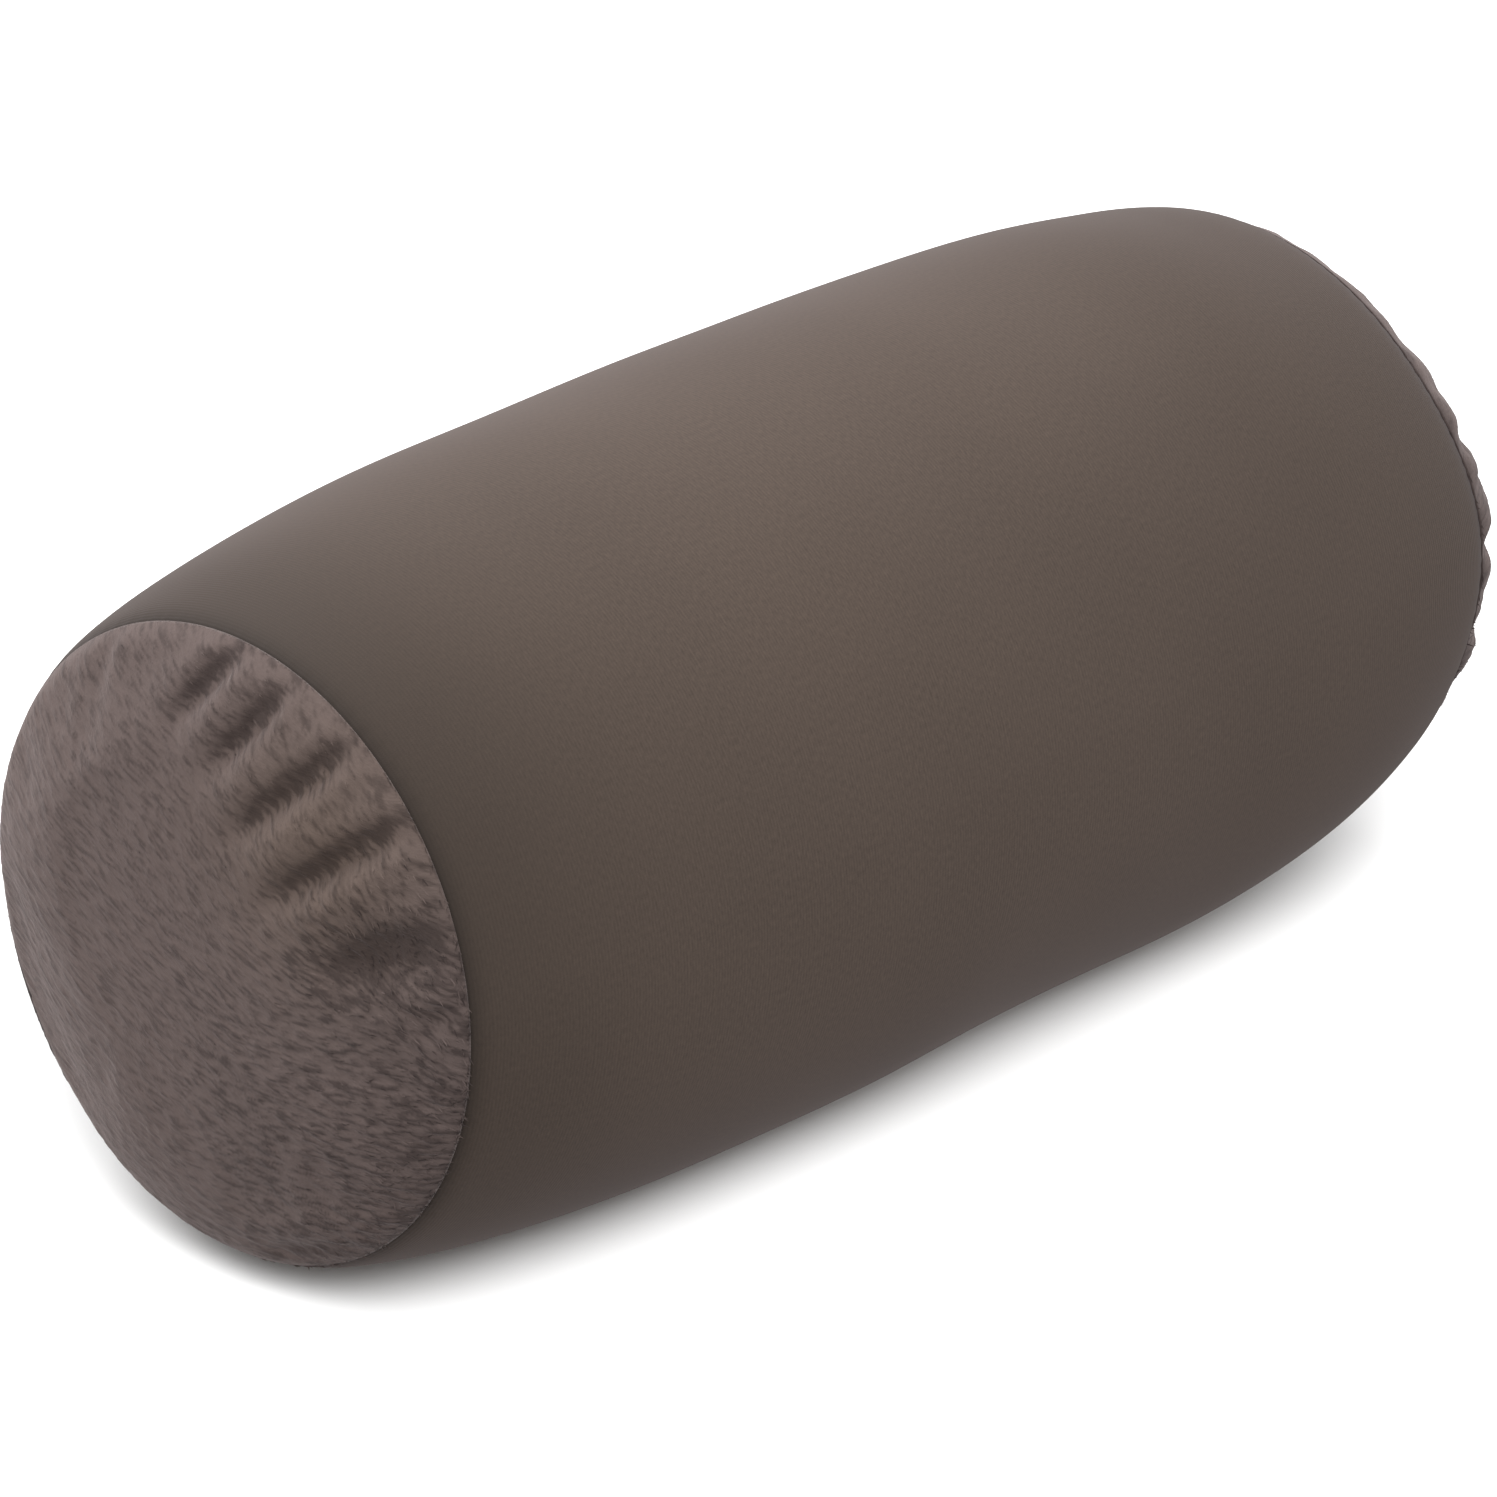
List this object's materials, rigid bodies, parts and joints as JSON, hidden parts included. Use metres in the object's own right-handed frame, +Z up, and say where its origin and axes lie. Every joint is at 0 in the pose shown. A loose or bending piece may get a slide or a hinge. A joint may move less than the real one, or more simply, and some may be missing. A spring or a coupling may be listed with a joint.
{
  "type": "bolster pillow",
  "caption": "Round bolster pillow with a smooth stretch-knit body, plush domed end panels and loose bead filling in an inner liner.",
  "frame": {"origin": "on the surface that the pillow rests on, under the middle of the roll", "axes": "+X along the roll, +Z up, +Y to the side where the lengthwise seam lies"},
  "size_m": [0.36, 0.165, 0.16],
  "materials": {
    "stretch_knit": "smooth fine-gauge stretch knit, warm grey-brown, matte with a faint satin sheen",
    "plush": "short-pile plush, warm grey-brown with a slight mauve cast",
    "cover_thread": "spun polyester sewing thread, dark brown",
    "liner_fabric": "thin stretch lining, off-white",
    "liner_thread": "spun polyester sewing thread, off-white",
    "microbeads": "expanded polystyrene microbeads, white"
  },
  "bodies": {
    "root": {"cover_body_panel": "stretch_knit", "left_end_panel": "plush", "right_end_panel": "plush", "left_end_seam_thread": "cover_thread", "right_end_seam_thread": "cover_thread", "cover_lengthwise_seam_thread": "cover_thread", "cover_closing_stitch": "cover_thread", "liner_body_panel": "liner_fabric", "left_liner_end": "liner_fabric", "right_liner_end": "liner_fabric", "left_liner_seam_thread": "liner_thread", "right_liner_seam_thread": "liner_thread", "liner_lengthwise_seam_thread": "liner_thread", "liner_closing_stitch": "liner_thread", "bead_fill": "microbeads"}
  },
  "joints": []
}
